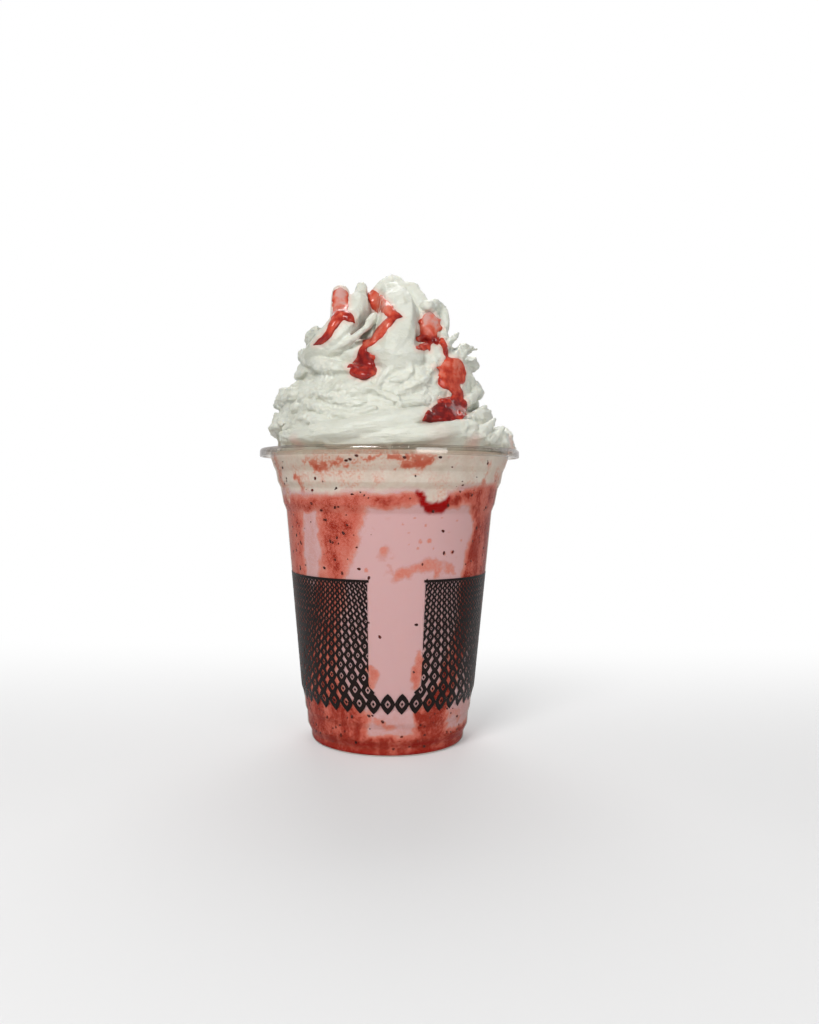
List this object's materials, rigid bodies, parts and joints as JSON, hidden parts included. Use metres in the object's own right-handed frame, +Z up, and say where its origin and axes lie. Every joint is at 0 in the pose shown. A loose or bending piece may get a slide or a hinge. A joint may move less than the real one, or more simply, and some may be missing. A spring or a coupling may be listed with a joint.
{
  "type": "milkshake",
  "caption": "Pink strawberry milkshake in a clear stepped takeaway cup with a black printed band, under a tall piped mound of whipped cream with runs of red sauce.",
  "frame": {"origin": "centre of the cup's foot on the table", "axes": "+Z up along the cup's axis; the clear window of the printed wall faces -Y, +X to its right"},
  "size_m": [0.098, 0.098, 0.1762],
  "materials": {
    "clear_cup": "clear, glossy",
    "milkshake": "smooth, moist",
    "strawberry_sauce": "wet, glossy",
    "whipped_cream": "soft, slightly moist"
  },
  "bodies": {
    "root": {"cup": "clear_cup", "sauce_pool": "strawberry_sauce", "milkshake": "milkshake", "sauce_layer": "strawberry_sauce", "whipped_cream": "whipped_cream", "sauce_run_left": "strawberry_sauce", "sauce_run_front": "strawberry_sauce", "sauce_run_right": "strawberry_sauce"}
  },
  "joints": []
}
